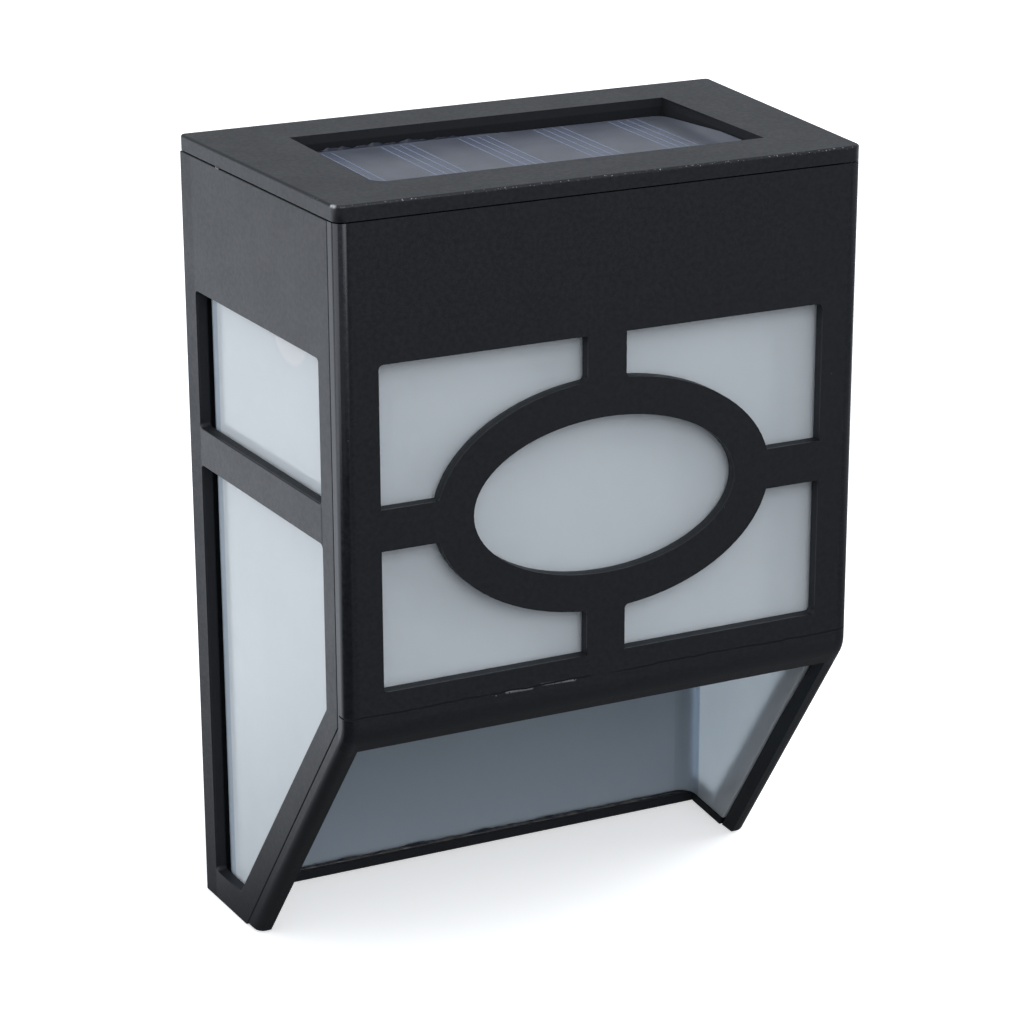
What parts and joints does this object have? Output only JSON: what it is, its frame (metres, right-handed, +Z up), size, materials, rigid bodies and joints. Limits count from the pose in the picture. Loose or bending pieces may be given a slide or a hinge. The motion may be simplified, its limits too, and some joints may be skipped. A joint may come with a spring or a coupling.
{
  "type": "solar fence light",
  "caption": "Box-shaped fence light: black shell with an oval-framed window front that leans back below, milky liner, and a solar head that lifts out of the top.",
  "frame": {"origin": "on the back face, midway between the two keyholes", "axes": "+Z up, +Y into the fence or wall, so the windowed front faces -Y, +X to the right seen from the front"},
  "size_m": [0.1144, 0.0665, 0.1575],
  "materials": {
    "black_abs": "fine satin moulded finish",
    "milky_plastic": "glossy milky translucent",
    "white_plastic": "smooth white",
    "white_board": "dark laminate",
    "silicon": "dark blue-grey silicon",
    "tinned_metal": "tinned",
    "clear_resin": "clear cast resin",
    "foam_rubber": "closed-cell foam",
    "steel": "plated",
    "cell_wrap": "plain green sleeve",
    "green_board": "solder mask",
    "chip_black": "moulded",
    "lamp_clear": "clear water-white",
    "red_wire": "PVC",
    "black_wire": "PVC"
  },
  "bodies": {
    "lamp_body": {"front_shell": "black_abs", "left_side_panel": "black_abs", "right_side_panel": "black_abs", "back_plate": "black_abs", "diffuser_liner": "milky_plastic"},
    "solar_head": {"solar_cap": "black_abs", "solar_board": "white_board", "solar_cells": "silicon", "cell_tabs": "tinned_metal", "resin_cover": "clear_resin", "cap_seal": "foam_rubber", "head_housing": "black_abs", "reflector_plate": "white_plastic", "housing_screws": "steel", "battery_cell": "cell_wrap", "plate_contact": "steel", "leaf_contact": "steel", "circuit_board": "green_board", "control_chip": "chip_black", "choke_coil": "chip_black", "left_lamp": "lamp_clear", "right_lamp": "lamp_clear", "lamp_leads": "tinned_metal", "switch_case": "steel", "panel_wire_plus": "red_wire", "panel_wire_minus": "black_wire", "battery_wire_plus": "red_wire", "battery_wire_minus": "black_wire"},
    "switch_knob": {"switch_knob": "chip_black"}
  },
  "joints": [
    {"name": "head_lift", "type": "slide", "parent": "lamp_body", "child": "solar_head", "axis": [0, 0, 1], "range_m": [0, 0.028]},
    {"name": "switch_slide", "type": "slide", "parent": "solar_head", "child": "switch_knob", "axis": [1, 0, 0], "range_m": [0, 0.002]}
  ]
}
